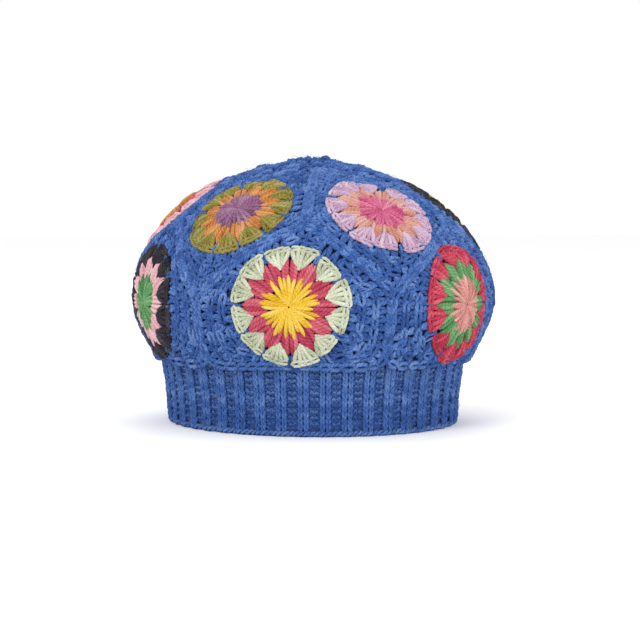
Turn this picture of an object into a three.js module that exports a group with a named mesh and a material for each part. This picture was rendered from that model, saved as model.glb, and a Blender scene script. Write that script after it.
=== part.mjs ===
// Crochet hat: a ribbed band, a round crown and twelve flower motifs.
// Millimetres, +Z up. The rim rests on z = 0, the front of the hat faces -Y.
// A turn is an angle round the hat from its front: positive turns go towards +X.

import * as THREE from 'three';

// Driving dimensions of the band
const RIM_HALF_WIDTH = 77;
const RIM_HALF_DEPTH = 95;
const BAND_HEIGHT = 36;
const BAND_FLARE = 4;
const BAND_WALL = 4;
const RIB_COUNT = 44;
const RIB_RELIEF = 1.1;

// Driving dimensions of the crown
const CROWN_HALF_WIDTH = 94;
const CROWN_HALF_DEPTH = 108;
const WIDEST_HEIGHT = 66;
const CROWN_HEIGHT = 137;
const DOME_POWER = 1.95;
const CROWN_WALL = 3;
const SEAM_GAP = 0.3;
const SEAM_LIP = 1.2;

// The top is drawn together: a low peak with gathers running down from it
const PEAK_HEIGHT = 4;
const PEAK_RADIUS = 9;
const GATHER_COUNT = 12;
const GATHER_RELIEF = 1.6;
const GATHER_REACH = 46;

// A knitted hat is never quite round: shallow waves, as a share of the radius
const WAVES = [
  { lobes: 2, share: 0.007, phase: 0.6 },
  { lobes: 3, share: 0.006, phase: 2.2 },
  { lobes: 5, share: 0.004, phase: 4.1 },
];

// Flower motifs: radii as a share of the flower's radius
const FLOWER_LIFT = 0.8;
const FLOWER_GAP = 0.35;
const PETAL_COUNT = 12;
const TIERS = {
  lower: { radius: 30, climb: 69, thickness: 1.8 },
  upper: { radius: 28, climb: 124, thickness: 1.8 },
};
const CENTRE_TIP = 0.5;
const CENTRE_NOTCH = 0.42;
const RING_TIP = 0.77;
const RING_NOTCH = 0.64;
const PETAL_CREST = 1.0;
const PETAL_SLIT = 0.93;
const PETAL_CROWN = 0.6;

// How finely the solids are faceted
const STEPS_PER_RIB = 4;
const BAND_ROWS = 3;
const CROWN_STEPS = 72;
const SKIRT_ROWS = 3;
const DOME_ROWS = 12;
const INNER_ROWS = 8;

// Yarn colours
const YARN = {
  blue: '#3f63ae',
  yellow: '#e8bf3c',
  raspberry: '#c2496a',
  sage: '#c8cfae',
  green: '#5d9a5c',
  pink: '#eeb0ba',
  charcoal: '#37343a',
  salmon: '#dc9a90',
  red: '#c8405c',
  hot_pink: '#dd5f86',
  peach: '#e6a58a',
  lavender: '#d6b9d6',
  mauve: '#8a5d88',
  orange: '#cf8f4a',
  olive: '#918a3a',
};

// One row for each flower, with its place and its three yarns
const FLOWERS = [
  { name: 'lower_flower_1', tier: 'lower', turn: -18, centre: 'yellow', ring: 'raspberry', petals: 'sage' },
  { name: 'lower_flower_2', tier: 'lower', turn: 43, centre: 'salmon', ring: 'green', petals: 'red' },
  { name: 'lower_flower_3', tier: 'lower', turn: 103, centre: 'orange', ring: 'mauve', petals: 'pink' },
  { name: 'lower_flower_4', tier: 'lower', turn: 163, centre: 'green', ring: 'yellow', petals: 'lavender' },
  { name: 'lower_flower_5', tier: 'lower', turn: 222, centre: 'hot_pink', ring: 'sage', petals: 'olive' },
  { name: 'lower_flower_6', tier: 'lower', turn: 282, centre: 'green', ring: 'pink', petals: 'charcoal' },
  { name: 'upper_flower_1', tier: 'upper', turn: 18, centre: 'hot_pink', ring: 'peach', petals: 'lavender' },
  { name: 'upper_flower_2', tier: 'upper', turn: 77, centre: 'yellow', ring: 'olive', petals: 'charcoal' },
  { name: 'upper_flower_3', tier: 'upper', turn: 137, centre: 'mauve', ring: 'pink', petals: 'raspberry' },
  { name: 'upper_flower_4', tier: 'upper', turn: 197, centre: 'peach', ring: 'green', petals: 'sage' },
  { name: 'upper_flower_5', tier: 'upper', turn: 257, centre: 'orange', ring: 'raspberry', petals: 'pink' },
  { name: 'upper_flower_6', tier: 'upper', turn: 317, centre: 'mauve', ring: 'orange', petals: 'olive' },
];

// Half width and half depth of the outer face at a height above the rim
function halfSizes(height) {
  if (height <= BAND_HEIGHT) {
    const flare = BAND_FLARE * (height / BAND_HEIGHT) ** 2;
    return [RIM_HALF_WIDTH + flare, RIM_HALF_DEPTH + flare];
  }
  const seamWidth = RIM_HALF_WIDTH + BAND_FLARE + SEAM_LIP;
  const seamDepth = RIM_HALF_DEPTH + BAND_FLARE + SEAM_LIP;
  if (height <= WIDEST_HEIGHT) {
    const rise = (height - BAND_HEIGHT) / (WIDEST_HEIGHT - BAND_HEIGHT);
    const spread = Math.sin((rise * Math.PI) / 2);
    return [
      seamWidth + (CROWN_HALF_WIDTH - seamWidth) * spread,
      seamDepth + (CROWN_HALF_DEPTH - seamDepth) * spread,
    ];
  }
  const rise = Math.min((height - WIDEST_HEIGHT) / (CROWN_HEIGHT - WIDEST_HEIGHT), 1);
  const share = (1 - rise ** DOME_POWER) ** (1 / DOME_POWER);
  return [CROWN_HALF_WIDTH * share, CROWN_HALF_DEPTH * share];
}

// The shallow waves of the crown, fading out at the seam and at the top
function waviness(turn, height) {
  const rise = THREE.MathUtils.clamp((height - BAND_HEIGHT) / (CROWN_HEIGHT - BAND_HEIGHT), 0, 1);
  let sum = 0;
  for (const wave of WAVES) {
    sum += wave.share * Math.sin(wave.lobes * turn + wave.phase);
  }
  return 1 + sum * Math.sin(Math.PI * rise);
}

// A point of the smooth outer face
function facePoint(turn, height) {
  const [halfWidth, halfDepth] = halfSizes(height);
  const wave = waviness(turn, height);
  return new THREE.Vector3(
    halfWidth * wave * Math.sin(turn),
    -halfDepth * wave * Math.cos(turn),
    height,
  );
}

// The outward direction of the smooth outer face at one of its points
function faceNormal(point) {
  const step = 0.05;
  const [halfWidth, halfDepth] = halfSizes(point.z);
  if (halfWidth < 1) {
    return new THREE.Vector3(0, 0, 1);
  }
  const [widthBelow, depthBelow] = halfSizes(point.z - step);
  const widthSlope = (halfWidth - widthBelow) / step;
  const depthSlope = (halfDepth - depthBelow) / step;
  const across = point.x / halfWidth;
  const along = point.y / halfDepth;
  return new THREE.Vector3(
    across / halfWidth,
    along / halfDepth,
    -(across ** 2 * widthSlope) / halfWidth - (along ** 2 * depthSlope) / halfDepth,
  ).normalize();
}

// The drawn-together top: the peak, and the gathers that fade out below it
function topRelief(point, turn) {
  const reach = Math.hypot(point.x, point.y);
  const peak = PEAK_HEIGHT * Math.exp(-((reach / PEAK_RADIUS) ** 2));
  const fade = Math.max(0, 1 - reach / GATHER_REACH) * Math.min(1, reach / PEAK_RADIUS);
  const gather = GATHER_RELIEF * fade * Math.cos(GATHER_COUNT * turn);
  return peak + gather;
}

// A closed solid through rings of points. An end that is one point closes in a fan;
// with loop set, the last ring joins the first one.
function solidThroughRings(rings, loop) {
  const positions = [];
  const starts = [];
  for (const ring of rings) {
    starts.push(positions.length / 3);
    for (const point of ring) {
      positions.push(point.x, point.y, point.z);
    }
  }
  const triangles = [];
  const pairs = loop ? rings.length : rings.length - 1;
  for (let i = 0; i < pairs; i += 1) {
    const next = (i + 1) % rings.length;
    const count = Math.max(rings[i].length, rings[next].length);
    for (let j = 0; j < count; j += 1) {
      const k = (j + 1) % count;
      const here = (n) => starts[i] + (rings[i].length === 1 ? 0 : n);
      const there = (n) => starts[next] + (rings[next].length === 1 ? 0 : n);
      if (rings[i].length > 1) {
        triangles.push(here(j), here(k), there(j));
      }
      if (rings[next].length > 1) {
        triangles.push(here(k), there(k), there(j));
      }
    }
  }
  return outwardGeometry(positions, triangles);
}

// The geometry with every face turned outwards, judged by the sign of its volume
function outwardGeometry(positions, triangles) {
  const corner = (n) => new THREE.Vector3().fromArray(positions, 3 * n);
  let volume = 0;
  for (let i = 0; i < triangles.length; i += 3) {
    const a = corner(triangles[i]);
    const b = corner(triangles[i + 1]);
    const c = corner(triangles[i + 2]);
    volume += a.dot(b.cross(c)) / 6;
  }
  if (volume < 0) {
    triangles.reverse();
  }
  const geometry = new THREE.BufferGeometry();
  geometry.setAttribute('position', new THREE.Float32BufferAttribute(positions, 3));
  geometry.setIndex(triangles);
  geometry.computeVertexNormals();
  return geometry;
}

function yarnMesh(name, geometry, yarn) {
  const material = new THREE.MeshStandardMaterial({ color: YARN[yarn], roughness: 0.95, metalness: 0 });
  const mesh = new THREE.Mesh(geometry, material);
  mesh.name = name;
  return mesh;
}

// The band: two plain columns stand proud, two purl columns lie back, all the way round
function makeBand() {
  const steps = RIB_COUNT * STEPS_PER_RIB;
  const ribProfile = [1, 1, -1, -1];
  const outerRing = (height) => {
    const ring = [];
    for (let i = 0; i < steps; i += 1) {
      const turn = (2 * Math.PI * i) / steps;
      const point = facePoint(turn, height);
      const relief = (ribProfile[i % STEPS_PER_RIB] * RIB_RELIEF) / 2;
      ring.push(point.addScaledVector(faceNormal(point), relief));
    }
    return ring;
  };
  const innerRing = (height) => {
    const ring = [];
    for (let i = 0; i < steps; i += 1) {
      const turn = (2 * Math.PI * i) / steps;
      const [halfWidth, halfDepth] = halfSizes(height);
      const wave = waviness(turn, height);
      ring.push(new THREE.Vector3(
        (halfWidth * wave - BAND_WALL) * Math.sin(turn),
        -(halfDepth * wave - BAND_WALL) * Math.cos(turn),
        height,
      ));
    }
    return ring;
  };
  const rings = [];
  for (let row = 0; row <= BAND_ROWS; row += 1) {
    const ring = outerRing((BAND_HEIGHT * row) / BAND_ROWS);
    for (const point of ring) {
      point.z = (BAND_HEIGHT * row) / BAND_ROWS;
    }
    rings.push(ring);
  }
  rings.push(innerRing(BAND_HEIGHT));
  rings.push(innerRing(0));
  return yarnMesh('ribbed_band', solidThroughRings(rings, true), 'blue');
}

// The heights of the crown's rings, from the seam up: even on the skirt, and by angle on the dome
function crownHeights(skirtRows, domeRows) {
  const seam = BAND_HEIGHT + SEAM_GAP;
  const heights = [];
  for (let row = 0; row < skirtRows; row += 1) {
    heights.push(seam + ((WIDEST_HEIGHT - seam) * row) / skirtRows);
  }
  for (let row = 0; row < domeRows; row += 1) {
    const angle = (Math.PI / 2) * (row / domeRows);
    heights.push(WIDEST_HEIGHT + (CROWN_HEIGHT - WIDEST_HEIGHT) * Math.sin(angle) ** (2 / DOME_POWER));
  }
  return heights;
}

// The crown: one closed wall, open at the seam, with its top drawn together
function makeCrown() {
  const ringAt = (height, inset) => {
    const ring = [];
    for (let i = 0; i < CROWN_STEPS; i += 1) {
      const turn = (2 * Math.PI * i) / CROWN_STEPS;
      const point = facePoint(turn, height);
      const relief = topRelief(point, turn) - inset;
      ring.push(point.addScaledVector(faceNormal(point), relief));
    }
    return ring;
  };
  const seam = BAND_HEIGHT + SEAM_GAP;
  const outer = crownHeights(SKIRT_ROWS, DOME_ROWS).map((height) => ringAt(height, 0));
  const inner = crownHeights(1, INNER_ROWS).map((height) => ringAt(height, CROWN_WALL));
  for (const point of [...outer[0], ...inner[0]]) {
    point.z = seam;
  }
  const top = [new THREE.Vector3(0, 0, CROWN_HEIGHT + PEAK_HEIGHT)];
  const innerTop = [new THREE.Vector3(0, 0, CROWN_HEIGHT + PEAK_HEIGHT - CROWN_WALL)];
  const rings = [top, ...outer.reverse(), ...inner, innerTop];
  return yarnMesh('crown', solidThroughRings(rings, false), 'blue');
}

// The height that is reached by climbing a length up the outer face from the rim
function heightAfterClimb(turn, climb) {
  const step = 0.1;
  let height = 0;
  let climbed = 0;
  let last = facePoint(turn, 0);
  while (climbed < climb) {
    height += step;
    const next = facePoint(turn, height);
    climbed += next.distanceTo(last);
    last = next;
  }
  return height;
}

// A point lifted off the outer face, under a point near the face, seen from inside the crown
function pressedOntoFace(target, lift) {
  const inside = new THREE.Vector3(0, 0, WIDEST_HEIGHT);
  const ray = target.clone().sub(inside);
  let near = 0.5;
  let far = 1.5;
  for (let i = 0; i < 40; i += 1) {
    const share = (near + far) / 2;
    const point = inside.clone().addScaledVector(ray, share);
    const [halfWidth, halfDepth] = halfSizes(point.z);
    const wave = waviness(Math.atan2(point.x / CROWN_HALF_WIDTH, -point.y / CROWN_HALF_DEPTH), point.z);
    const reach = Math.hypot(point.x / (halfWidth * wave), point.y / (halfDepth * wave));
    if (point.z < CROWN_HEIGHT && reach < 1) {
      near = share;
    } else {
      far = share;
    }
  }
  const point = inside.addScaledVector(ray, near);
  return point.addScaledVector(faceNormal(point), lift);
}

// A flower: a star-shaped centre, a spiked ring round it, and a round of petals
function makeFlower(flower) {
  const tier = TIERS[flower.tier];
  const turn = THREE.MathUtils.degToRad(flower.turn);
  const middle = facePoint(turn, heightAfterClimb(turn, tier.climb));
  const normal = faceNormal(middle);
  const sideways = new THREE.Vector3(Math.cos(turn), Math.sin(turn), 0);
  sideways.addScaledVector(normal, -sideways.dot(normal)).normalize();
  const upwards = new THREE.Vector3().crossVectors(normal, sideways);

  const steps = 2 * PETAL_COUNT;
  const ringOf = (tip, notch, gap, lift) => {
    const ring = [];
    for (let i = 0; i < steps; i += 1) {
      const angle = (2 * Math.PI * i) / steps;
      const reach = (i % 2 === 0 ? tip : notch) * tier.radius + gap;
      const target = middle.clone();
      target.addScaledVector(sideways, reach * Math.sin(angle));
      target.addScaledVector(upwards, reach * Math.cos(angle));
      ring.push(pressedOntoFace(target, lift));
    }
    return ring;
  };
  const low = FLOWER_LIFT;
  const high = FLOWER_LIFT + tier.thickness;

  const centre = solidThroughRings([
    [pressedOntoFace(middle, low)],
    ringOf(CENTRE_TIP, CENTRE_NOTCH, 0, low),
    ringOf(CENTRE_TIP, CENTRE_NOTCH, 0, high),
    [pressedOntoFace(middle, high)],
  ], false);
  const ring = solidThroughRings([
    ringOf(CENTRE_TIP, CENTRE_NOTCH, FLOWER_GAP, low),
    ringOf(RING_TIP, RING_NOTCH, 0, low),
    ringOf(RING_TIP, RING_NOTCH, 0, high),
    ringOf(CENTRE_TIP, CENTRE_NOTCH, FLOWER_GAP, high),
  ], true);
  const middleTip = (RING_TIP + PETAL_SLIT) / 2;
  const middleNotch = (RING_NOTCH + PETAL_CREST) / 2;
  const petals = solidThroughRings([
    ringOf(RING_TIP, RING_NOTCH, FLOWER_GAP, low),
    ringOf(PETAL_SLIT, PETAL_CREST, 0, low),
    ringOf(PETAL_SLIT, PETAL_CREST, 0, high),
    ringOf(middleTip, middleNotch, 0, high + PETAL_CROWN),
    ringOf(RING_TIP, RING_NOTCH, FLOWER_GAP, high),
  ], true);

  const group = new THREE.Group();
  group.add(yarnMesh(`${flower.name}_centre`, centre, flower.centre));
  group.add(yarnMesh(`${flower.name}_ring`, ring, flower.ring));
  group.add(yarnMesh(`${flower.name}_petals`, petals, flower.petals));
  return group;
}

const hat = new THREE.Group();
hat.add(makeBand());
hat.add(makeCrown());
for (const flower of FLOWERS) {
  hat.add(makeFlower(flower));
}

export default hat;
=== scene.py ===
# %% [markdown]
# # A crochet hat, made of yarn
# The hat is a knitted ribbed band below a crown of crocheted flowers in a blue ground.
# A painted or bumped dome would look flat at its edges, where a real hat shows every
# stitch. So each stitch here is a short length of yarn with a path of its own. Plain
# formulas lay the paths over the hat's form, and Geometry Nodes spin yarn along them.

# %% Load the frame
import math

import bpy
import numpy as np
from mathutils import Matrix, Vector


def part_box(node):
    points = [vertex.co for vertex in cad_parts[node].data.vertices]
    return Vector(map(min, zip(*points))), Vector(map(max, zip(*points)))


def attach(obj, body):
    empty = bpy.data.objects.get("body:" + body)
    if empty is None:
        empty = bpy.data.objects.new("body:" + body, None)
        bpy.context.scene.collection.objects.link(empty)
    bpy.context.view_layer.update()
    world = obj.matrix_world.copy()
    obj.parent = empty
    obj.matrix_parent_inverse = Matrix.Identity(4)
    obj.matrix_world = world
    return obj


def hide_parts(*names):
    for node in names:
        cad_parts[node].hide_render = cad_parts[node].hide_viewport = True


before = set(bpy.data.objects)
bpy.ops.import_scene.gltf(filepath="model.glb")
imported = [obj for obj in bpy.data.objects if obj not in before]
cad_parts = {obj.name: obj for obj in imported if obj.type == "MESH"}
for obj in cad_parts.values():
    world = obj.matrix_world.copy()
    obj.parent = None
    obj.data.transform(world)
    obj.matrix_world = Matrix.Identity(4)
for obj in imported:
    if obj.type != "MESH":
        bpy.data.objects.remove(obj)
bpy.context.view_layer.update()
BODY = "root"
MM = 0.001
rng = np.random.default_rng(12)
print("nodes in the frame:", len(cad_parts))

# %% [markdown]
# ## The form under the stitches
# Every stitch is placed by two numbers: a turn round the hat from its front, and a
# height above the rim. The outline is the frame's own: an oval band that flares a
# little, a skirt that swells above the seam, and a dome that is drawn together on top.
# A formula is used and not the frame's facets, so that the yarn runs smoothly.

# %% The hat's form, read from the frame
BAND_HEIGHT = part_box("ribbed_band")[1].z
BAND_FLARE = 4 * MM
SEAM_LIP = 1.2 * MM
RIM_HALF_WIDTH = 77 * MM
RIM_HALF_DEPTH = 95 * MM
CROWN_HALF_WIDTH = 94 * MM
CROWN_HALF_DEPTH = 108 * MM
WIDEST_HEIGHT = 66 * MM
PEAK_HEIGHT = 4 * MM
PEAK_RADIUS = 9 * MM
CROWN_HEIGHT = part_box("crown")[1].z - PEAK_HEIGHT
DOME_POWER = 1.95
GATHER_COUNT = 12
GATHER_RELIEF = 1.6 * MM
GATHER_REACH = 46 * MM
SLACK = 1.1 * MM
WAVES = (
    # lobes round the hat, share of the radius, phase
    (2, 0.007, 0.6),
    (3, 0.006, 2.2),
    (5, 0.004, 4.1),
)
print("band height", round(BAND_HEIGHT, 4), "crown height", round(CROWN_HEIGHT, 4))


# %% Points of the outer face
def half_sizes(height):
    """Half width and half depth of the outer face at each height."""
    height = np.asarray(height, float)
    flare = BAND_FLARE * (np.clip(height, 0, BAND_HEIGHT) / BAND_HEIGHT) ** 2
    skirt = np.clip((height - BAND_HEIGHT) / (WIDEST_HEIGHT - BAND_HEIGHT), 0, 1)
    dome = np.clip((height - WIDEST_HEIGHT) / (CROWN_HEIGHT - WIDEST_HEIGHT), 0, 1)
    spread = np.sin(skirt * math.pi / 2)
    share = (1 - dome**DOME_POWER) ** (1 / DOME_POWER)
    sizes = []
    for rim, widest in ((RIM_HALF_WIDTH, CROWN_HALF_WIDTH), (RIM_HALF_DEPTH, CROWN_HALF_DEPTH)):
        seam = rim + BAND_FLARE + SEAM_LIP
        swelling = seam + (widest - seam) * spread
        on_band = height <= BAND_HEIGHT
        on_dome = height > WIDEST_HEIGHT
        sizes.append(np.where(on_band, rim + flare, np.where(on_dome, widest * share, swelling)))
    return sizes


def waviness(turn, height):
    """A knitted hat is never quite round: a shallow wave of the radius."""
    rise = np.clip((height - BAND_HEIGHT) / (CROWN_HEIGHT - BAND_HEIGHT), 0, 1)
    total = sum(share * np.sin(lobes * turn + phase) for lobes, share, phase in WAVES)
    return 1 + total * np.sin(math.pi * rise)


def face_point(turn, height):
    """Points of the smooth outer face."""
    turn, height = np.broadcast_arrays(np.asarray(turn, float), np.asarray(height, float))
    half_width, half_depth = half_sizes(height)
    wave = waviness(turn, height)
    across = half_width * wave * np.sin(turn)
    along = -half_depth * wave * np.cos(turn)
    return np.stack([across, along, height], axis=-1)


print("front of the rim", face_point(0, 0).round(4))


# %% [markdown]
# Yarn lies on the cloth and not in it, so every point also needs an outward direction.
# It could be read from a mesh, but the slope of the formula is exact and has no facets.


# %% Outward directions
def face_normal(point):
    """The outward direction of the outer face at its points."""
    step = 0.05 * MM
    half_width, half_depth = half_sizes(point[..., 2])
    width_below, depth_below = half_sizes(point[..., 2] - step)
    half_width = np.maximum(half_width, 1e-6)
    half_depth = np.maximum(half_depth, 1e-6)
    across = point[..., 0] / half_width
    along = point[..., 1] / half_depth
    climb = -(across**2) * (half_width - width_below) / step / half_width
    climb -= along**2 * (half_depth - depth_below) / step / half_depth
    normal = np.stack([across / half_width, along / half_depth, climb], axis=-1)
    at_top = point[..., 2] > CROWN_HEIGHT - 0.002 * MM
    normal[at_top] = (0, 0, 1)
    return normal / np.linalg.norm(normal, axis=-1, keepdims=True)


print("outward at the front of the rim", face_normal(face_point([0.0], 0.0))[0].round(3))


# %% [markdown]
# The top is gathered to a small peak, and an empty crown is a little slack between its
# flowers. Both are low, so they are added to the lift of the yarn above the face. A
# sculpted mesh would do it too, but then the stitches would have to be fitted to it.


# %% Shallow relief
def top_relief(point):
    """The drawn-together top: a low peak, and gathers that run down from it."""
    reach = np.hypot(point[..., 0], point[..., 1])
    turn = np.arctan2(point[..., 0] / CROWN_HALF_WIDTH, -point[..., 1] / CROWN_HALF_DEPTH)
    peak = PEAK_HEIGHT * np.exp(-((reach / PEAK_RADIUS) ** 2))
    fade = np.clip(1 - reach / GATHER_REACH, 0, 1) * np.clip(reach / PEAK_RADIUS, 0, 1)
    return peak + GATHER_RELIEF * fade * np.cos(GATHER_COUNT * turn)


def slack_relief(point):
    """The shallow hollows and swells of an empty crown."""
    turn = np.arctan2(point[..., 0], -point[..., 1])
    climb = point[..., 2] / MM
    waves = np.sin(7 * turn + climb / 15) + np.sin(11 * turn - climb / 10 + 1.3)
    fade = np.clip((climb - BAND_HEIGHT / MM) / 12, 0, 1)
    fade = fade * np.clip((CROWN_HEIGHT / MM - climb) / 8, 0, 1)
    return SLACK / 2 * waves * fade


def lifted(point, lift):
    """Points of the face, moved outwards by a lift."""
    relief = top_relief(point) + slack_relief(point)
    return point + face_normal(point) * (relief + lift)[..., None]


print("relief at the peak in mm", round(float(top_relief(np.zeros(3))) / MM, 1))


# %% [markdown]
# A round flower is drawn flat first and then pressed onto the dome, as cloth is laid over
# a form. Halving the way along a ray from inside finds the face without any mesh.


# %% Pressing points onto the face
def pressed_onto_face(target):
    """The points of the face that targets near it come to, seen from inside the crown."""
    inside = np.array([0, 0, WIDEST_HEIGHT])
    ray = target - inside
    near = np.full(target.shape[:-1], 0.3)
    far = np.full(target.shape[:-1], 1.6)
    for _ in range(26):
        share = (near + far) / 2
        point = inside + ray * share[..., None]
        half_width, half_depth = half_sizes(np.minimum(point[..., 2], CROWN_HEIGHT))
        turn = np.arctan2(point[..., 0] / CROWN_HALF_WIDTH, -point[..., 1] / CROWN_HALF_DEPTH)
        wave = waviness(turn, point[..., 2])
        reach = np.hypot(
            point[..., 0] / np.maximum(half_width * wave, 1e-9),
            point[..., 1] / np.maximum(half_depth * wave, 1e-9),
        )
        within = (point[..., 2] < CROWN_HEIGHT) & (reach < 1)
        near = np.where(within, share, near)
        far = np.where(within, far, share)
    return inside + ray * near[..., None]


print("left side of the face", pressed_onto_face(np.array([[0.1, 0, WIDEST_HEIGHT]]))[0].round(4))


# %% [markdown]
# ## Spinning yarn along a path
# A path is a row of points with a radius at each. Blender can sweep a circle along a
# curve, and Geometry Nodes do it for thousands of paths at once, so one small tree
# makes all the yarn of the hat. It also keeps the length along the strand and the side
# of the strand that a point lies on, from which the material draws the yarn's twist.


# %% One function that adds a node
def add_node(tree, kind, links=None, **settings):
    """A node with its settings; a link is a socket to join or a value to set."""
    node = tree.nodes.new(kind)
    for name, value in settings.items():
        setattr(node, name, value)
    for socket, source in (links or {}).items():
        if isinstance(source, bpy.types.NodeSocket):
            tree.links.new(source, node.inputs[socket])
        else:
            node.inputs[socket].default_value = source
    return node


# %% The tree that spins yarn
def yarn_tree():
    """The node tree: paths in, strands of yarn out."""
    tree = bpy.data.node_groups.new("Spin yarn", "GeometryNodeTree")
    face = tree.interface
    face.new_socket("Paths", in_out="INPUT", socket_type="NodeSocketGeometry")
    face.new_socket("Sides", in_out="INPUT", socket_type="NodeSocketInt")
    face.new_socket("Thickness", in_out="INPUT", socket_type="NodeSocketFloat")
    face.new_socket("Yarn", in_out="INPUT", socket_type="NodeSocketMaterial")
    face.new_socket("Strands", in_out="OUTPUT", socket_type="NodeSocketGeometry")
    given = add_node(tree, "NodeGroupInput")
    curves = add_node(tree, "GeometryNodeMeshToCurve", {"Mesh": given.outputs["Paths"]})
    radius = add_node(
        tree, "GeometryNodeInputNamedAttribute", {"Name": "radius_m"}, data_type="FLOAT",
    )
    scaled = add_node(
        tree, "ShaderNodeMath",
        {0: radius.outputs["Attribute"], 1: given.outputs["Thickness"]}, operation="MULTIPLY",
    )
    length = add_node(tree, "GeometryNodeSplineParameter")
    measured = add_node(
        tree, "GeometryNodeStoreNamedAttribute",
        {"Geometry": curves.outputs["Curve"], "Name": "along", "Value": length.outputs["Length"]},
        data_type="FLOAT", domain="POINT",
    )
    circle = add_node(
        tree, "GeometryNodeCurvePrimitiveCircle",
        {"Resolution": given.outputs["Sides"], "Radius": 1.0},
    )
    place = add_node(tree, "GeometryNodeInputPosition")
    sided = add_node(
        tree, "GeometryNodeStoreNamedAttribute",
        {"Geometry": circle.outputs["Curve"], "Name": "side", "Value": place.outputs["Position"]},
        data_type="FLOAT_VECTOR", domain="POINT",
    )
    swept = add_node(
        tree, "GeometryNodeCurveToMesh",
        {
            "Curve": measured.outputs["Geometry"], "Profile Curve": sided.outputs["Geometry"],
            "Scale": scaled.outputs["Value"], "Fill Caps": True,
        },
    )
    smooth = add_node(tree, "GeometryNodeSetShadeSmooth", {"Geometry": swept.outputs["Mesh"]})
    real = add_node(tree, "GeometryNodeRealizeInstances", {"Geometry": smooth.outputs["Geometry"]})
    coloured = add_node(
        tree, "GeometryNodeSetMaterial",
        {"Geometry": real.outputs["Geometry"], "Material": given.outputs["Yarn"]},
    )
    add_node(tree, "NodeGroupOutput", {"Strands": coloured.outputs["Geometry"]})
    return tree


SPIN_YARN = yarn_tree()
print("tree", SPIN_YARN.name, "nodes", len(SPIN_YARN.nodes))


# %% [markdown]
# A skein gathers the paths of one piece. Each path also gets a tone of its own, because
# hand-dyed wool is a little lighter or darker from one length to the next.


# %% A skein of paths, and the piece that it becomes
class Skein:
    """Paths of yarn that become one piece."""

    def __init__(self):
        self.points = []
        self.edges = []
        self.radii = []
        self.tones = []
        self.count = 0

    def lay(self, points, radius, closed=False, tone=None):
        """Adds many paths of one length: points is paths x points x 3."""
        paths, steps = points.shape[:2]
        first = self.count + np.arange(paths)[:, None] * steps + np.arange(steps)[None, :]
        here, there = first[:, :-1], first[:, 1:]
        self.edges.append(np.stack([here.ravel(), there.ravel()], axis=1))
        if closed:
            self.edges.append(np.stack([first[:, -1], first[:, 0]], axis=1))
        self.points.append(points.reshape(-1, 3))
        self.radii.append(np.broadcast_to(radius, (paths, steps)).ravel())
        if tone is None:
            tone = rng.uniform(0, 1, paths)
        self.tones.append(np.repeat(np.broadcast_to(tone, (paths,)), steps))
        self.count += paths * steps

    def spin(self, name, material, nodes, sides=5):
        """Spins the skein into a piece that stands for CAD nodes."""
        guide = bpy.data.meshes.new(name)
        points = np.concatenate(self.points)
        edges = np.concatenate(self.edges)
        guide.vertices.add(len(points))
        guide.vertices.foreach_set("co", points.ravel())
        guide.edges.add(len(edges))
        guide.edges.foreach_set("vertices", edges.ravel().astype(np.int32))
        for label, values in (("radius_m", self.radii), ("tone", self.tones)):
            attribute = guide.attributes.new(label, "FLOAT", "POINT")
            attribute.data.foreach_set("value", np.concatenate(values).astype(np.float32))
        piece = bpy.data.objects.new(name, guide)
        bpy.context.scene.collection.objects.link(piece)
        modifier = piece.modifiers.new("Spin yarn", "NODES")
        modifier.node_group = SPIN_YARN
        values = {"Sides": sides, "Thickness": 1.0, "Yarn": material}
        for item in SPIN_YARN.interface.items_tree:
            if item.name in values:
                modifier[item.identifier] = values[item.name]
        finish_piece(piece, nodes)


def finish_piece(piece, nodes):
    """Turns the evaluated piece into a plain mesh and joins it to the frame."""
    graph = bpy.context.evaluated_depsgraph_get()
    made = bpy.data.meshes.new_from_object(
        piece.evaluated_get(graph), preserve_all_data_layers=True, depsgraph=graph
    )
    piece.modifiers.clear()
    piece.data = made
    made.name = piece.name
    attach(piece, BODY)
    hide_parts(*nodes)
    made.calc_loop_triangles()
    print(piece.name, "triangles", len(made.loop_triangles))


# %% [markdown]
# ## Wool
# The yarn is a plied wool blend: matt, soft at its edges, with fine plies that turn
# round the strand and a heathered dye. The twist is drawn from the strand's own length
# and side, so that it follows every bend. It is drawn a little coarser than real wool,
# 3 plies at 6 mm a turn, or it would be finer than the picture can show.


# %% Colours
def linear(code):
    """An sRGB hex value as linear red, green, blue and alpha."""
    channels = [int(code[i:i + 2], 16) / 255 for i in (1, 3, 5)]
    return [c / 12.92 if c <= 0.04045 else ((c + 0.055) / 1.055) ** 2.4 for c in channels] + [1.0]


# %% Spun wool
PLIES = 3
PLY_TURN = 6.0 * MM
FIBRE_LENGTH = 2.5 * MM
HEATHER_SIZE = 6.0 * MM
PLY_BUMP = 0.25 * MM


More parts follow.
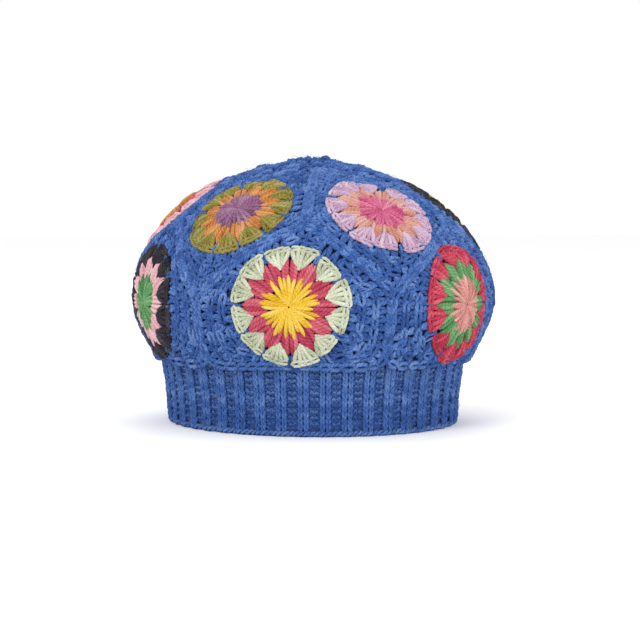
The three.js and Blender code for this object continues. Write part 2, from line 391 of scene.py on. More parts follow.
def spun_wool(name, dark, mid, light):
    """Plied wool: dark, middle and light shades, mixed by dyeing and by painted crest light and
    groove shade.
    """
    material = bpy.data.materials.new(f"Spun wool, {name}")
    material.use_nodes = True
    tree = material.node_tree
    tree.nodes.clear()

    def calculate(operation, *values):
        node = add_node(tree, "ShaderNodeMath", dict(enumerate(values)), operation=operation)
        return node.outputs[0]

    along = add_node(tree, "ShaderNodeAttribute", attribute_name="along").outputs["Fac"]
    side = add_node(tree, "ShaderNodeAttribute", attribute_name="side").outputs["Vector"]
    tone = add_node(tree, "ShaderNodeAttribute", attribute_name="tone").outputs["Fac"]
    parts = add_node(tree, "ShaderNodeSeparateXYZ", {0: side})
    angle = calculate("ARCTAN2", parts.outputs["Y"], parts.outputs["X"])
    turned = calculate("MULTIPLY_ADD", tone, 40.0, angle)
    twist = calculate("MULTIPLY_ADD", along, 2 * math.pi / PLY_TURN, turned)
    ply = calculate("COSINE", calculate("MULTIPLY", twist, float(PLIES)))
    streak = add_node(
        tree, "ShaderNodeCombineXYZ",
        {
            "X": calculate("MULTIPLY", calculate("COSINE", twist), 3.5),
            "Y": calculate("MULTIPLY", calculate("SINE", twist), 3.5),
            "Z": calculate("MULTIPLY_ADD", tone, 90.0, calculate("DIVIDE", along, FIBRE_LENGTH)),
        },
    )
    fibre = add_node(
        tree, "ShaderNodeTexNoise",
        {"Vector": streak.outputs["Vector"], "Scale": 1.0, "Detail": 3.0, "Roughness": 0.7},
    ).outputs["Fac"]
    place = add_node(tree, "ShaderNodeTexCoord")
    heather = add_node(
        tree, "ShaderNodeTexNoise",
        {
            "Vector": place.outputs["Object"], "Scale": 1 / HEATHER_SIZE,
            "Detail": 2.0, "Roughness": 0.6,
        },
    ).outputs["Fac"]
    # Heather and tone stand for uneven dyeing; fibre and ply also drive the bump below, so they add
    # painted light on its crests and painted shade in its grooves.
    dye_and_crest_shade = calculate("MULTIPLY_ADD", heather, 0.45, calculate("MULTIPLY", tone, 0.28))
    dye_and_crest_shade = calculate("MULTIPLY_ADD", fibre, 0.55, dye_and_crest_shade)
    dye_and_crest_shade = calculate("MULTIPLY_ADD", ply, 0.08, dye_and_crest_shade)
    ramp = add_node(tree, "ShaderNodeValToRGB", {"Fac": dye_and_crest_shade})
    ramp.color_ramp.elements[0].position = 0.36
    ramp.color_ramp.elements[0].color = linear(dark)
    ramp.color_ramp.elements[1].position = 0.92
    ramp.color_ramp.elements[1].color = linear(light)
    ramp.color_ramp.elements.new(0.64).color = linear(mid)
    height = calculate("MULTIPLY_ADD", ply, 0.5, fibre)
    bump = add_node(
        tree, "ShaderNodeBump", {"Height": height, "Strength": 0.6, "Distance": PLY_BUMP},
    )
    wool = add_node(
        tree, "ShaderNodeBsdfPrincipled",
        {
            "Base Color": ramp.outputs["Color"], "Normal": bump.outputs["Normal"],
            "Roughness": 0.95, "Specular IOR Level": 0.15,
            "Sheen Weight": 0.22, "Sheen Roughness": 0.5, "Sheen Tint": linear(light),
        },
    )
    add_node(tree, "ShaderNodeOutputMaterial", {"Surface": wool.outputs["BSDF"]})
    return material


# %% [markdown]
# Fifteen dyes are used: blue for the ground and the band, the others for the flowers.
# Each has a dark, a middle and a light shade. Heather and tone mix them as uneven dyeing,
# and the bump's fibre and ply mix them as painted light on crests and painted shade in grooves.

# %% The dyes: dark, middle and light, the outer two partly painted shade and light
SHADES = {
    "blue": ("#1f376f", "#3b5d9d", "#6e8bbd"),
    "yellow": ("#b77f1b", "#d6b02f", "#dec776"),
    "raspberry": ("#83223b", "#b6455b", "#c68087"),
    "sage": ("#848b72", "#b6bca1", "#d0d2c2"),
    "green": ("#2d603a", "#558b56", "#8caf80"),
    "pink": ("#b37681", "#d5a5ab", "#ddc7c5"),
    "charcoal": ("#151319", "#2e2b32", "#504954"),
    "salmon": ("#9c5751", "#c68981", "#d6aca6"),
    "red": ("#791b32", "#b6384e", "#c86b78"),
    "hot_pink": ("#952f58", "#c05b7e", "#d091a5"),
    "peach": ("#9e604c", "#c28d7e", "#cbaba6"),
    "lavender": ("#8e708f", "#b99ab2", "#cdbac3"),
    "mauve": ("#512f4d", "#815777", "#a58597"),
    "orange": ("#8d4f1f", "#be7e43", "#d1a279"),
    "olive": ("#514a18", "#847a37", "#a59b67"),
}
WOOL = {name: spun_wool(name, *shades) for name, shades in SHADES.items()}
print("yarns", len(WOOL))

# %% [markdown]
# ## The ribbed band
# The band is knitted in the round, two plain stitches and two purl stitches in turn.
# One yarn runs through a whole row as a line of loops: a wave in height, pinched to an
# omega shape, that also dips in and out of the cloth. A plain stitch brings its two
# legs to the front, a purl stitch its head and foot, so one formula with a changing
# sign makes the rib, and the rows hook into each other as the real ones do.

# %% Rows of knitted loops
RIB_REPEATS = 44
STITCHES = 4 * RIB_REPEATS
LOOP_STEPS = 10
BAND_ROWS = 11
BAND_YARN = 0.84 * MM
LOOP_PINCH = 0.22
COLUMN_PINCH = 0.07
LOOP_HEIGHT = 2.75 * MM
LOOP_DEPTH = 0.9 * MM
RIB_RELIEF = 0.9 * MM
RIB_SQUEEZE = 0.06
BAND_MIDDLE = -1.5 * MM
UNEVEN_LOOP = 0.08
UNEVEN_DEPTH = 0.12 * MM
LOWEST_ROW = LOOP_HEIGHT + 1.5 * MM
ROW_PITCH = (BAND_HEIGHT - LOWEST_ROW - 0.4 * MM) / (BAND_ROWS - 1)


def rib_side(stitch):
    """1 on the plain columns and -1 on the purl columns, turning over between them."""
    return np.tanh(3.5 * np.sin((stitch + 0.5) * math.pi / 2))


def rib_turn(stitch):
    """The turn round the hat of a place in a row: plain columns take the wider share."""
    squeezed = stitch - RIB_SQUEEZE * 2 / math.pi * np.cos((stitch + 0.5) * math.pi / 2)
    return 2 * math.pi * squeezed / STITCHES


def knitted_row(height, jitter):
    """The path of one row; jitter makes each stitch a little its own."""
    stitch = np.arange(STITCHES * LOOP_STEPS) / LOOP_STEPS
    phase = 2 * math.pi * stitch
    side = rib_side(stitch)
    place = stitch + LOOP_PINCH * np.sin(2 * phase) - COLUMN_PINCH * np.sin(phase)
    uneven = jitter[np.round(stitch).astype(int) % STITCHES]
    wave = LOOP_HEIGHT * np.cos(phase) * (1 + UNEVEN_LOOP * uneven)
    purl = (1 - side) / 2
    lift = BAND_MIDDLE + RIB_RELIEF * side - LOOP_DEPTH * np.cos(2 * phase) * side
    lift = lift + LOOP_DEPTH * np.cos(phase) * purl
    base = face_point(rib_turn(place), np.clip(height + wave, 0, BAND_HEIGHT))
    out = face_normal(base)
    out[..., 2] = 0
    out /= np.linalg.norm(out, axis=-1, keepdims=True)
    point = base + out * (lift + UNEVEN_DEPTH * uneven)[..., None]
    point[..., 2] = height + wave
    return point


print("rows", BAND_ROWS, "of", STITCHES, "stitches, pitch in mm", round(ROW_PITCH / MM, 2))

# %% [markdown]
# The rim is the edge where the knitting was cast on: a cord of two strands that turn
# round each other once for every two stitches. It closes the band where the hat rests.

# %% The cast-on edge
CAST_ON_STEPS = 6 * STITCHES
CAST_ON_HEIGHT = 2.6 * MM * 0.62  # of the cord's middle above the floor
CAST_ON_SWING = 0.75 * MM


def lay_cast_on(skein):
    """Two strands twisted round each other along the rim."""
    turn = 2 * math.pi * np.arange(CAST_ON_STEPS) / CAST_ON_STEPS
    twist = turn * STITCHES / 2
    for half_turn in (0, math.pi):
        height = CAST_ON_HEIGHT + CAST_ON_SWING * np.sin(twist + half_turn)
        base = face_point(turn, height)
        side = rib_side(turn / (2 * math.pi) * STITCHES)
        swing = CAST_ON_SWING * np.cos(twist + half_turn)
        lift = BAND_MIDDLE + RIB_RELIEF * side * 0.7 + swing
        point = base + face_normal(base) * lift[..., None]
        point[..., 2] = height
        skein.lay(point[None], BAND_YARN * 0.95, closed=True)


# %% Spin the band
BAND_PARTS = {"lower": range(0, 6), "upper": range(6, BAND_ROWS)}
for half, rows in BAND_PARTS.items():
    skein = Skein()
    for row in rows:
        jitter = rng.normal(0, 1, STITCHES)
        points = knitted_row(LOWEST_ROW + ROW_PITCH * row, jitter)
        skein.lay(points[None], BAND_YARN, closed=True)
    if half == "lower":
        lay_cast_on(skein)
    skein.spin(f"band_{half}_rows", WOOL["blue"], ["ribbed_band"])

# %% [markdown]
# ## The body of the fabric
# Between the stitches a real fabric shows more yarn, deeper down and in shade. A thin
# wall under the stitches stands for it, closed from the rim to the top. It sinks near
# the seam, where the yarn lies deepest. More layers of yarn would be truer, but would
# double the triangles for what shows only in slits. The back of the crochet is knobbly,
# so its wool has rounded cells about 3 mm wide, drawn by the material alone, with
# painted shade in the gaps between them and painted light on their middles.

# %% Wool on the back of the fabric
KNOB_SIZE = 3.2 * MM
KNOB_HEIGHT = 1.2 * MM


def wool_back():
    """The knobbly back of the fabric: rounded cells with painted shade in the gaps between them."""
    material = bpy.data.materials.new("Crocheted wool, back")
    material.use_nodes = True
    tree = material.node_tree
    tree.nodes.clear()
    place = add_node(tree, "ShaderNodeTexCoord")
    cells = add_node(
        tree, "ShaderNodeTexVoronoi",
        {"Vector": place.outputs["Object"], "Scale": 1 / KNOB_SIZE},
    )
    # The ramp paints the cells' middles lighter and the gaps between them darker: painted light and
    # painted shade over the blue of the wool.
    shade = add_node(tree, "ShaderNodeValToRGB", {"Fac": cells.outputs["Distance"]})
    shade.color_ramp.elements[0].position = 0.1
    shade.color_ramp.elements[0].color = linear("#35589d")
    shade.color_ramp.elements[1].position = 0.75
    shade.color_ramp.elements[1].color = linear("#1d3669")
    bump = add_node(
        tree, "ShaderNodeBump",
        {"Height": cells.outputs["Distance"], "Strength": 0.9, "Distance": KNOB_HEIGHT},
        invert=True,
    )
    wool = add_node(
        tree, "ShaderNodeBsdfPrincipled",
        {
            "Base Color": shade.outputs["Color"], "Normal": bump.outputs["Normal"],
            "Roughness": 0.95, "Specular IOR Level": 0.2,
            "Sheen Weight": 0.3, "Sheen Roughness": 0.5,
        },
    )
    add_node(tree, "ShaderNodeOutputMaterial", {"Surface": wool.outputs["BSDF"]})
    return material


WOOL_BACK = wool_back()
print("material", WOOL_BACK.name)

# %% The wall under the stitches
CORE_OUTSIDE = -1.2 * MM
CORE_INSIDE = -2.7 * MM
CORE_TURNS = 180
CORE_BAND_ROWS = 6
CORE_SKIRT_ROWS = 8
CORE_DOME_ROWS = 30
CORE_LOWEST = 1.2 * MM


def core_heights():
    """Heights of the rings, closer together towards the top."""
    band = np.linspace(CORE_LOWEST, BAND_HEIGHT, CORE_BAND_ROWS, endpoint=False)
    skirt = np.linspace(BAND_HEIGHT + 0.2 * MM, WIDEST_HEIGHT, CORE_SKIRT_ROWS, endpoint=False)
    angle = np.linspace(0, math.pi / 2, CORE_DOME_ROWS, endpoint=False)
    dome = WIDEST_HEIGHT + (CROWN_HEIGHT - WIDEST_HEIGHT) * np.sin(angle) ** (2 / DOME_POWER)
    return np.concatenate([band, skirt, dome])


def core_rings(lift):
    """Rings of points from the rim to just under the top."""
    turn = 2 * math.pi * np.arange(CORE_TURNS) / CORE_TURNS
    rings = []
    for height in core_heights():
        point = face_point(turn, height)
        sink = np.interp(height - BAND_HEIGHT, [-2 * MM, 0, 8 * MM], [0.7 * MM, 2.0 * MM, 0])
        moved = lifted(point, np.full(CORE_TURNS, lift - sink))
        if height < BAND_HEIGHT:
            moved[:, 2] = height
        rings.append(moved)
    return np.array(rings)


def weave_core():
    """One closed wall: up the inside, round the rim and up the outside."""
    outside, inside = core_rings(CORE_OUTSIDE), core_rings(CORE_INSIDE)
    top = np.array([[0, 0, CROWN_HEIGHT + PEAK_HEIGHT + CORE_OUTSIDE]])
    inner_top = np.array([[0, 0, CROWN_HEIGHT + PEAK_HEIGHT + CORE_INSIDE]])
    rings = np.concatenate([inside[::-1], outside])
    points = np.concatenate([rings.reshape(-1, 3), inner_top, top])
    faces = []
    for ring in range(len(rings) - 1):
        for i in range(CORE_TURNS):
            k = (i + 1) % CORE_TURNS
            low, high = ring * CORE_TURNS, (ring + 1) * CORE_TURNS
            faces.append((low + i, low + k, high + k, high + i))
    last = (len(rings) - 1) * CORE_TURNS
    for i in range(CORE_TURNS):
        k = (i + 1) % CORE_TURNS
        faces.append((k, i, len(points) - 2))
        faces.append((last + i, last + k, len(points) - 1))
    mesh = bpy.data.meshes.new("fabric_core")
    mesh.from_pydata([tuple(p) for p in points], [], faces)
    mesh.polygons.foreach_set("use_smooth", [True] * len(mesh.polygons))
    piece = bpy.data.objects.new("fabric_core", mesh)
    bpy.context.scene.collection.objects.link(piece)
    piece.data.materials.append(WOOL_BACK)
    finish_piece(piece, ["crown"])


weave_core()

# %% [markdown]
# ## The flowers and their cells
# Each flower is the start of a round motif, and the blue ground grows out from it until
# it meets its neighbours. So the crown is shared out first: a place belongs to the
# flower whose edge is nearest, and the top of the crown is a cell of its own. Polar
# places round a flower are measured along straight lines from its centre.

# %% The motifs' centres on the crown
TIERS = {
    # radius of a flower, and the climb from the rim to its centre
    "lower": (30 * MM, 69 * MM),
    "upper": (28 * MM, 124 * MM),
}
FLOWERS = {
    # tier, turn in degrees, yarns of the centre, the ring and the petals
    "lower_flower_1": ("lower", -18, "yellow", "raspberry", "sage"),
    "lower_flower_2": ("lower", 43, "salmon", "green", "red"),
    "lower_flower_3": ("lower", 103, "orange", "mauve", "pink"),
    "lower_flower_4": ("lower", 163, "green", "yellow", "lavender"),
    "lower_flower_5": ("lower", 222, "hot_pink", "sage", "olive"),
    "lower_flower_6": ("lower", 282, "green", "pink", "charcoal"),
    "upper_flower_1": ("upper", 18, "hot_pink", "peach", "lavender"),
    "upper_flower_2": ("upper", 77, "yellow", "olive", "charcoal"),
    "upper_flower_3": ("upper", 137, "mauve", "pink", "raspberry"),
    "upper_flower_4": ("upper", 197, "peach", "green", "sage"),
    "upper_flower_5": ("upper", 257, "orange", "raspberry", "pink"),
    "upper_flower_6": ("upper", 317, "mauve", "orange", "olive"),
}
TOP_RADIUS = 5 * MM


class Motif:
    """A round motif: its centre on the crown and the directions across it."""

    def __init__(self, name, centre, radius):
        self.name = name
        self.centre = centre
        self.radius = radius
        self.normal = face_normal(centre[None])[0]
        sideways = np.array([-self.normal[1], self.normal[0], 0.0])
        if np.linalg.norm(sideways) < 1e-6:
            sideways = np.array([1.0, 0.0, 0.0])
        self.sideways = sideways / np.linalg.norm(sideways)
        self.upwards = np.cross(self.normal, self.sideways)

    def polar(self, reach, angle):
        """Points of the face at a straight distance from the centre, at an angle from upwards."""
        reach, angle = np.broadcast_arrays(np.asarray(reach, float), np.asarray(angle, float))
        way = np.sin(angle)[..., None] * self.sideways + np.cos(angle)[..., None] * self.upwards
        step = reach.copy()
        for _ in range(4):
            point = pressed_onto_face(self.centre + way * step[..., None])
            found = np.linalg.norm(point - self.centre, axis=-1)
            step = step * reach / np.maximum(found, 1e-9)
        return point

    def fabric(self, reach, angle, lift):
        """Points a lift above the face, given as for polar."""
        point = self.polar(reach, angle)
        return lifted(point, np.broadcast_to(lift, point.shape[:-1]))


def height_after_climb(turn, climb):
    """The height that a climb along the face from the rim comes to."""
    heights = np.arange(0, 130 * MM, 0.1 * MM)
    line = face_point(np.full_like(heights, turn), heights)
    climbed = np.concatenate([[0], np.cumsum(np.linalg.norm(np.diff(line, axis=0), axis=1))])
    return float(np.interp(climb, climbed, heights))


MOTIFS = {}
for name, (tier, turn, *_) in FLOWERS.items():
    radius, climb = TIERS[tier]
    turn = math.radians(turn)
    centre = face_point(turn, height_after_climb(turn, climb))
    MOTIFS[name] = Motif(name, centre, radius)
MOTIFS["top"] = Motif("top", np.array([0, 0, CROWN_HEIGHT - 0.001 * MM]), TOP_RADIUS)
print("motifs", len(MOTIFS))

# %% [markdown]
# From every flower, lines run out at even angles until another flower is nearer or the
# seam is met. Their ends are the edge of its cell. A Voronoi mesh would give the same
# cells, but the rounds of stitches need their reach by angle, which this gives at once.

# %% How far each cell reaches
CELL_ANGLES = 360
CELL_REACH = 72 * MM
CELL_STEP = 0.75 * MM
SEAM_RIDGE = BAND_HEIGHT + 0.3 * MM
ANGLES = 2 * math.pi * np.arange(CELL_ANGLES) / CELL_ANGLES
CENTRES = np.array([m.centre for m in MOTIFS.values()])
RADII = np.array([m.radius for m in MOTIFS.values()])


def cell_edge(index, motif):
    """The reach of a motif's cell at each angle: up to a neighbour or the band's seam."""
    reach = np.arange(motif.radius, CELL_REACH, CELL_STEP)
    place = motif.polar(reach[None, :], ANGLES[:, None])
    spans = np.linalg.norm(place[..., None, :] - CENTRES, axis=-1) - RADII
    own = spans[..., index].copy()
    spans[..., index] = 1.0
    outside = (spans.min(axis=-1) < own) | (place[..., 2] < SEAM_RIDGE)
    outside[:, -1] = True
    return reach[outside.argmax(axis=1)]


CELL_EDGE = {m.name: cell_edge(i, m) for i, m in enumerate(MOTIFS.values())}
for name, edge in CELL_EDGE.items():
    print(name, "cell reach in mm", round(edge.min() / MM), "to", round(edge.max() / MM))

# %% [markdown]
# ## The blue ground
# The ground is worked in rounds that start as circles round the flower and end along the
# edge of its cell, so the last rounds run beside the band's seam as ridges. A round is a
# row of posts with dark slits between them, and a chain of small loops on their heads.
# Where a cell is narrow it has fewer rounds, and two cells meet in a double chain.

# %% Posts and chain loops
ROUND_PITCH = 7.0 * MM
STITCH_WIDTH = 4.5 * MM
GROUND_YARN = 1.14 * MM
CHAIN_WIDTH = 2.9 * MM
CHAIN_LIFT = 0.8 * MM
EDGE_LIFT = 1.5 * MM
EDGE_WIDTH = 3.2 * MM
EDGE_YARN = 1.2 * MM
POST_ARCH = 0.8 * MM
SHORTEST_POST = 1.2 * MM
POST_STEPS = 6
LOOP_OUTLINE = np.array([
    # along the chain, across the chain, out of the fabric
    (-0.60, -0.30, 0.0),
    (-0.15, -0.50, 0.6),
    (0.40, -0.42, 1.0),
    (0.74, 0.00, 0.6),
    (0.40, 0.42, 1.0),
    (-0.15, 0.50, 0.6),
    (-0.60, 0.30, 0.0),
])


def unit(vectors):
    """The vectors at length one."""
    return vectors / np.maximum(np.linalg.norm(vectors, axis=-1, keepdims=True), 1e-9)


def lay_posts(skein, motif, inner, outer, angle, width):
    """A slanting leg and a leg that crosses over it, for each post from inner to outer reach."""
    count = len(angle)
    climb = np.linspace(0, 1, POST_STEPS)
    arch = np.sin(math.pi * climb)
    lean = rng.normal(0, 0.16, count)[:, None] * (climb - 0.5)
    wobble = rng.normal(0, 0.22 * MM, count)[:, None]
    tone = rng.uniform(0, 1, count)
    reach = inner[:, None] + (outer - inner)[:, None] * climb
    for leg, over in ((-1, 0.0), (1, 0.75 * MM)):
        swing = leg * (0.30 - 0.52 * climb + 0.12 * arch) + lean
        turned = angle[:, None] + swing * width / reach
        lift = (POST_ARCH + over) * arch + wobble
        radius = GROUND_YARN * (1 - 0.12 * np.cos(2 * math.pi * climb))
        skein.lay(motif.fabric(reach, turned, lift), radius[None], tone=tone)


def lay_loops(skein, place, ahead, pitch, width, lift, yarn):
    """Chain loops at places, each as long as the pitch allows and leaning ahead."""
    ahead = unit(ahead)[:, None]
    out = face_normal(place)[:, None]
    across = np.cross(out, ahead)
    outline = LOOP_OUTLINE[None] * (1 + rng.normal(0, 0.08, (len(place), 1, 1)))
    points = lifted(place, lift + rng.normal(0, 0.12 * MM, len(place)))[:, None]
    points = points + ahead * outline[..., :1] * pitch
    points = points + across * outline[..., 1:2] * width
    points = points + out * outline[..., 2:] * 0.8 * MM
    skein.lay(points, yarn)


print("points of a post", POST_STEPS, "and of a chain loop", len(LOOP_OUTLINE))


# %% [markdown]
# A crocheter keeps the stitches one width apart, so a longer round takes more of them.
# The same is done here: the length of the round is measured, then shared out evenly.


# %% Rounds of a cell
def even_angles(reach, active, spacing, shift):
    """Angles of places at even spacing along a line round a motif, where it is active."""
    run = np.concatenate([[0], np.cumsum(reach * active * 2 * math.pi / CELL_ANGLES)])
    count = int(round(run[-1] / spacing))
    if count == 0:
        return np.zeros(0)
    wanted = run[-1] * (np.arange(count) + shift) / count
    return np.interp(wanted, run, np.append(ANGLES, 2 * math.pi))


def around(angle, values):
    """A value for each angle, from values known at even angles."""
    return np.interp(angle, ANGLES, values, period=2 * math.pi)


def work_ground(skein, motif, start):
    """All rounds of a cell, counted inwards from its edge."""
    edge = CELL_EDGE[motif.name]
    edge = np.convolve(np.concatenate([edge[-6:], edge, edge[:6]]), np.ones(13) / 13, mode="valid")
    room = np.maximum(edge - start, 0)
    rounds = np.maximum(1, np.round(room / ROUND_PITCH))
    for number in range(int(rounds.max())):
        active = rounds > number
        outer = edge - room * number / rounds
        inner = outer - room / rounds
        heads = outer - (0.5 * CHAIN_WIDTH if number else 1.0 * MM)
        angle = even_angles((inner + outer) / 2, active, STITCH_WIDTH, 0.5 * (number % 2))
        low, high = around(angle, inner) - 0.4 * MM, around(angle, heads)
        tall = high - low > SHORTEST_POST
        lay_posts(skein, motif, low[tall], high[tall], angle[tall], STITCH_WIDTH)
        angle = even_angles(heads, active, STITCH_WIDTH, 0.0)
        angle = angle[around(angle, room) > 0.8 * MM]
        reach = np.maximum(around(angle, heads), start - 0.3 * MM)
        place = motif.polar(reach, angle)
        ahead_reach = np.maximum(around(angle + 0.03, heads), start - 0.3 * MM)
        ahead = motif.polar(ahead_reach, angle + 0.03) - place
        looks = (CHAIN_WIDTH, CHAIN_LIFT, GROUND_YARN)
        if number == 0:
            rise = np.interp(around(angle, room), [2 * MM, 6 * MM], [0.2 * MM, EDGE_LIFT])
            looks = (EDGE_WIDTH, rise, EDGE_YARN)
        lay_loops(skein, place, ahead, STITCH_WIDTH, *looks)


# %% [markdown]
# The first blue stitches are worked into the slits between the petals, and show there as
# pairs of thin strands. They tie each flower to the ground.

# %% Strands between the petals
PETALS = 12
SLIT_YARN = 0.62 * GROUND_YARN


def reach_between_petals(skein, motif):
    """Pairs of blue strands that hook the ground to the slits between the petals."""
    climb = np.linspace(0, 1, POST_STEPS)
    slit = 2 * math.pi * np.arange(PETALS) / PETALS
    inner = motif.radius * (0.84 + rng.normal(0, 0.015, PETALS))
    outer = motif.radius + 3.4 * MM
    reach = inner[:, None] + (outer - inner)[:, None] * climb
    for leg in (-1, 1):
        aside = leg * (0.5 * MM + 1.1 * MM * climb)
        lift = np.interp(climb, [0, 0.4, 1], [1.1 * MM, 1.9 * MM, 0.6 * MM])
        strands = motif.fabric(reach, slit[:, None] + aside / reach, lift)
        skein.lay(strands, SLIT_YARN)


# %% [markdown]
# All of the ground in one piece would be too heavy to handle, so it is spun in five.

# %% Spin the ground
GROUND_GROUPS = {
    "ground_front_cells": ("lower_flower_6", "lower_flower_1", "lower_flower_2"),
    "ground_back_cells": ("lower_flower_3", "lower_flower_4", "lower_flower_5"),
    "ground_upper_front_cells": ("upper_flower_6", "upper_flower_1", "upper_flower_2"),
    "ground_upper_back_cells": ("upper_flower_3", "upper_flower_4", "upper_flower_5"),
    "ground_top_cell": ("top",),
}
for group, members in GROUND_GROUPS.items():
    skein = Skein()
    for member in members:
        motif = MOTIFS[member]
        work_ground(skein, motif, motif.radius * (1 if member == "top" else 0.99))
        if member != "top":
            reach_between_petals(skein, motif)
    skein.spin(group, WOOL["blue"], ["crown"])

# %% [markdown]
# ## The flowers
# A flower has three rounds. The centre is a star of strands worked into one ring. The
# second round lies behind its tips and shows as a ring of spikes. The petals are
# clusters of strands that fan out from one stitch and end in a short scalloped chain,
# with a slit between one cluster and the next. A printed disc would be quicker, but
# has no thickness at the crown's outline. Every round is worked into the one before, so
# low courses of its own yarn lie under its strands and close the gaps between them.

# %% Low courses under the strands
FLOWER_YARN = 1.15 * MM
FLOWER_STEPS = 7
COURSE_YARN = 1.2 * MM
COURSE_LIFT = 0.4 * MM
CLIMB = np.linspace(0, 1, FLOWER_STEPS)


def work_courses(skein, motif, reach, middle, half, steps):
    """Low courses of the round's own yarn, which close the gaps under its strands."""
    reach = np.asarray(reach, dtype=float)[:, None] + np.zeros(steps)
    angle = middle + np.linspace(-1, 1, steps) * half
    points = motif.fabric(reach, angle + 0 * reach, COURSE_LIFT + 0 * reach)
    skein.lay(points, COURSE_YARN, tone=0.4)


# %% [markdown]
# The centre has long and short strands in turn, so that its edge is a star.

# %% The centre
CENTRE_STRANDS = 34
CENTRE_COURSES = (0.12, 0.2, 0.28)


def work_centre(skein, motif):
    """A disc of strands, long and short in turn, with pointed ends."""
    which = np.arange(CENTRE_STRANDS)
    angle = 2 * math.pi * (which + rng.normal(0, 0.14, CENTRE_STRANDS)) / CENTRE_STRANDS
    tip = motif.radius * (np.where(which % 2, 0.45, 0.53) + rng.normal(0, 0.02, CENTRE_STRANDS))
    inner = 0.5 * MM
    reach = inner + (tip[:, None] - inner) * CLIMB
    lift = np.interp(CLIMB, [0, 0.25, 0.8, 1], [1.6 * MM, 2.1 * MM, 2.3 * MM, 1.6 * MM])
    lift = lift + rng.normal(0, 0.16 * MM, CENTRE_STRANDS)[:, None]
    radius = FLOWER_YARN * np.interp(CLIMB, [0, 0.3, 0.8, 1], [0.5, 0.85, 1.0, 0.4])
    bend = rng.normal(0, 0.05, CENTRE_STRANDS)[:, None] * CLIMB**2
    skein.lay(motif.fabric(reach, angle[:, None] + bend, lift), radius[None])
    work_courses(skein, motif, motif.radius * np.array(CENTRE_COURSES), 0, math.pi, 31)


# %% [markdown]
# In the ring, clusters of strands draw together into a spike behind each slit.

# %% The ring of spikes
RING_LANES = 4
RING_COURSES = (0.4, 0.48, 0.56, 0.64)


def work_ring(skein, motif):
    """Clusters of strands behind the slits of the petals, drawn to a point."""
    lane = np.tile(np.linspace(-1, 1, RING_LANES), PETALS)
    cluster = np.repeat(np.arange(PETALS), RING_LANES)
    sector = 2 * math.pi / PETALS
    spread = sector / 2 * (1 - 1 / RING_LANES)
    narrowing = spread * (1 - 0.38 * CLIMB**2)
    angle = sector * cluster[:, None] + lane[:, None] * narrowing
    angle = angle + rng.normal(0, 0.012, len(lane))[:, None]
    tip = motif.radius * (0.83 - 0.07 * np.abs(lane)) + rng.normal(0, 0.4 * MM, len(lane))
    inner = motif.radius * 0.36
    reach = inner + (tip[:, None] - inner) * CLIMB
    lift = np.interp(CLIMB, [0, 0.3, 0.85, 1], [0.9 * MM, 1.5 * MM, 1.8 * MM, 1.2 * MM])
    lift = lift + rng.normal(0, 0.14 * MM, len(lane))[:, None]
    radius = FLOWER_YARN * np.interp(CLIMB, [0, 0.2, 0.85, 1], [0.9, 1.05, 1.1, 0.6])
    skein.lay(motif.fabric(reach, angle, lift), radius[None])
    work_courses(skein, motif, motif.radius * np.array(RING_COURSES), 0, math.pi, 49)


# %% [markdown]
# A petal is a fan of five strands from one stitch, under a scalloped chain of its own.
# Each petal is a little larger or smaller and stands a little askew, as by hand.

# %% The petals
PETAL_STRANDS = 5
PETAL_INNER = 0.61
PETAL_OUTER = 0.965
PETAL_FOOT = 1.3 * MM
PETAL_GAP = 1.75 * MM
PETAL_COURSES = (0.3, 0.55, 0.8)


def work_petals(skein, motif):
    """Fans of strands, each under a chain of loops along its outer edge."""
    sector = 2 * math.pi / PETALS
    lane = np.linspace(-1, 1, PETAL_STRANDS)
    for petal in range(PETALS):
        size = 1 + rng.normal(0, 0.02)
        middle = sector * (petal + 0.5) + rng.normal(0, 0.03)
        outer_half = (motif.radius * PETAL_OUTER * sector / 2 - PETAL_GAP) * size
        tip = motif.radius * (PETAL_OUTER - 0.05 * lane**2) * size
        tip = tip + rng.normal(0, 0.3 * MM, PETAL_STRANDS)
        inner = motif.radius * (PETAL_INNER + 0.06 * np.abs(lane))
        reach = inner[:, None] + (tip - inner)[:, None] * CLIMB
        half = PETAL_FOOT + (outer_half - PETAL_FOOT) * CLIMB**0.85
        angle = middle + lane[:, None] * half / reach
        lift = np.interp(CLIMB, [0, 0.2, 0.7, 1], [1.8 * MM, 2.4 * MM, 2.2 * MM, 1.2 * MM])
        lift = lift + rng.normal(0, 0.14 * MM, PETAL_STRANDS)[:, None]
        radius = FLOWER_YARN * np.interp(CLIMB, [0, 0.3, 1], [0.75, 1.0, 1.08])
        skein.lay(motif.fabric(reach, angle, lift), radius[None])
        up = np.array(PETAL_COURSES)
        course = motif.radius * (PETAL_INNER + (PETAL_OUTER - PETAL_INNER) * up)
        half = PETAL_FOOT + (outer_half - PETAL_FOOT) * up**0.85 - 0.3 * MM
        work_courses(skein, motif, course, middle, (half / course)[:, None], 6)
        rim = motif.radius * (PETAL_OUTER - 0.015) * size
        head = middle + np.linspace(-0.82, 0.82, 4) * outer_half / motif.radius
        place = motif.polar(rim, head)
        ahead = motif.polar(rim, head + 0.02) - place
        lay_loops(skein, place, ahead, outer_half * 0.58, 2.3 * MM, 1.4 * MM, FLOWER_YARN * 0.8)


# %% Spin the flowers
ROUNDS = (("centre", work_centre), ("ring", work_ring), ("petals", work_petals))
for flower, (_, _, *yarns) in FLOWERS.items():
    for (part, work), yarn in zip(ROUNDS, yarns):
        skein = Skein()
        work(skein, MOTIFS[flower])
        node = f"{flower}_{part}"
        skein.spin(f"{node}_yarn", WOOL[yarn], [node], sides=6)

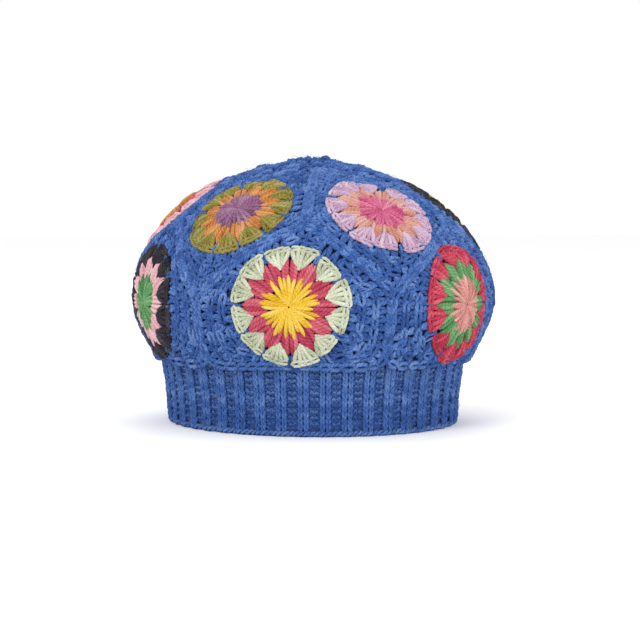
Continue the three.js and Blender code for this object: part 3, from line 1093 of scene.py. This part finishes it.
# %% [markdown]
# ## Stray fibres
# Wool is never quite smooth: a few fibres stand off the yarn and soften the hat's edge.
# Blender's hair could do it, but isn't a mesh. So thin yarn is laid at random places
# between the flowers, from the same seed on every run. The fibres start well above the
# rim, so that none of them reaches the floor.

# %% Fibres that stand off the blue yarn
FIBRE_TRIES = 2600
FIBRE_RADIUS = 0.06 * MM
FIBRE_POINTS = 5
LOWEST_FIBRE = 9 * MM


def stray_fibres():
    """Short curled fibres, rooted in the yarn."""
    ways = unit(rng.normal(0, 1, (FIBRE_TRIES, 3)))
    root = pressed_onto_face(np.array([0, 0, WIDEST_HEIGHT]) + ways * 0.15)
    spans = np.linalg.norm(root[:, None] - CENTRES, axis=-1) - RADII
    root = root[(root[:, 2] > LOWEST_FIBRE) & (spans.min(axis=1) > 0)]
    out = face_normal(root)
    aside = unit(np.cross(out, rng.normal(0, 1, root.shape)))
    curl = np.cross(out, aside) * rng.normal(0, 0.6, (len(root), 1))
    length = rng.uniform(2.2, 4.6, (len(root), 1, 1)) * MM
    grown = np.linspace(0, 1, FIBRE_POINTS)[None, :, None]
    rise = rng.uniform(0.4, 0.9, (len(root), 1, 1)) * out[:, None] * np.sin(grown * 2.2)
    depth = np.where(root[:, 2] < BAND_HEIGHT, -1.0 * MM, 0.4 * MM)
    path = lifted(root, depth)[:, None]
    path = path + length * (rise + aside[:, None] * grown + curl[:, None] * grown**2)
    skein = Skein()
    skein.lay(path, FIBRE_RADIUS, tone=rng.uniform(0.5, 1, len(root)))
    skein.spin("stray_fibres", WOOL["blue"], ["crown"], sides=3)


stray_fibres()

# %% [markdown]
# ## The picture
# The hat rests on its rim on a pale floor, seen from the photo's side with a long lens.
# The photo looks up at the hat, which can't be done through a floor, so the camera
# stands just above it. The plain view transform keeps the dyes as bright as they are.

# %% Camera
CAMERA_TURN = -10
CAMERA_CLIMB = 3
CAMERA_AWAY = 1.25
LENS = 130
scene = bpy.context.scene
scene.view_settings.view_transform = "Standard"
AIM = Vector((0.0043, 0.0, 0.0540))
turn, climb_angle = math.radians(CAMERA_TURN), math.radians(CAMERA_CLIMB)
level = math.cos(climb_angle)
back = Vector((math.sin(turn) * level, -math.cos(turn) * level, math.sin(climb_angle)))
camera = bpy.data.objects.new("camera", bpy.data.cameras.new("camera"))
camera.data.lens = LENS
camera.data.sensor_width = 36
camera.location = AIM + back * CAMERA_AWAY
camera.rotation_mode = "QUATERNION"
camera.rotation_quaternion = (-back).to_track_quat("-Z", "Y")
scene.collection.objects.link(camera)
scene.camera = camera
print("camera", tuple(round(v, 3) for v in camera.location))


# %% [markdown]
# The floor and the sky are nearly white, so that no line shows where they meet.

# %% Floor
FLOOR_HALF = 6.0


def make_floor():
    """A pale matt floor, wide enough that its edge is out of every view."""
    mesh = bpy.data.meshes.new("floor")
    corners = [(x * FLOOR_HALF, y * FLOOR_HALF, 0) for x, y in ((-1, -1), (1, -1), (1, 1), (-1, 1))]
    mesh.from_pydata(corners, [], [(0, 1, 2, 3)])
    floor = bpy.data.objects.new("floor", mesh)
    material = bpy.data.materials.new("Pale matt floor")
    material.use_nodes = True
    shader = material.node_tree.nodes["Principled BSDF"]
    shader.inputs["Base Color"].default_value = linear("#fdfdfd")
    shader.inputs["Roughness"].default_value = 0.9
    mesh.materials.append(material)
    scene.collection.objects.link(floor)


make_floor()


# %% [markdown]
# A large lamp from the upper left shows the relief of the stitches. A lower one fills
# the band's grooves, and one from behind lifts the outline off the background.


# %% Light
def add_light(name, place, size, power):
    """A square lamp, its size in metres and its power in watts, aimed at the hat."""
    light = bpy.data.lights.new(name, "AREA")
    light.size = size
    light.energy = power
    lamp = bpy.data.objects.new(name, light)
    lamp.location = place
    lamp.rotation_mode = "QUATERNION"
    lamp.rotation_quaternion = (AIM - Vector(place)).to_track_quat("-Z", "Y")
    scene.collection.objects.link(lamp)


add_light("key", (-1.0, -1.6, 1.7), 1.0, 20.5)
add_light("fill", (0.9, -1.9, 0.5), 1.4, 11)
add_light("back", (0.4, 1.6, 1.6), 1.2, 11)
world = bpy.data.worlds.new("studio")
world.use_nodes = True
world.node_tree.nodes["Background"].inputs["Color"].default_value = linear("#ffffff")
world.node_tree.nodes["Background"].inputs["Strength"].default_value = 1.0
scene.world = world

# %% [markdown]
# ## The end
# The yarn stands a little outside the solids.

# %% The end
bpy.context.view_layer.update()
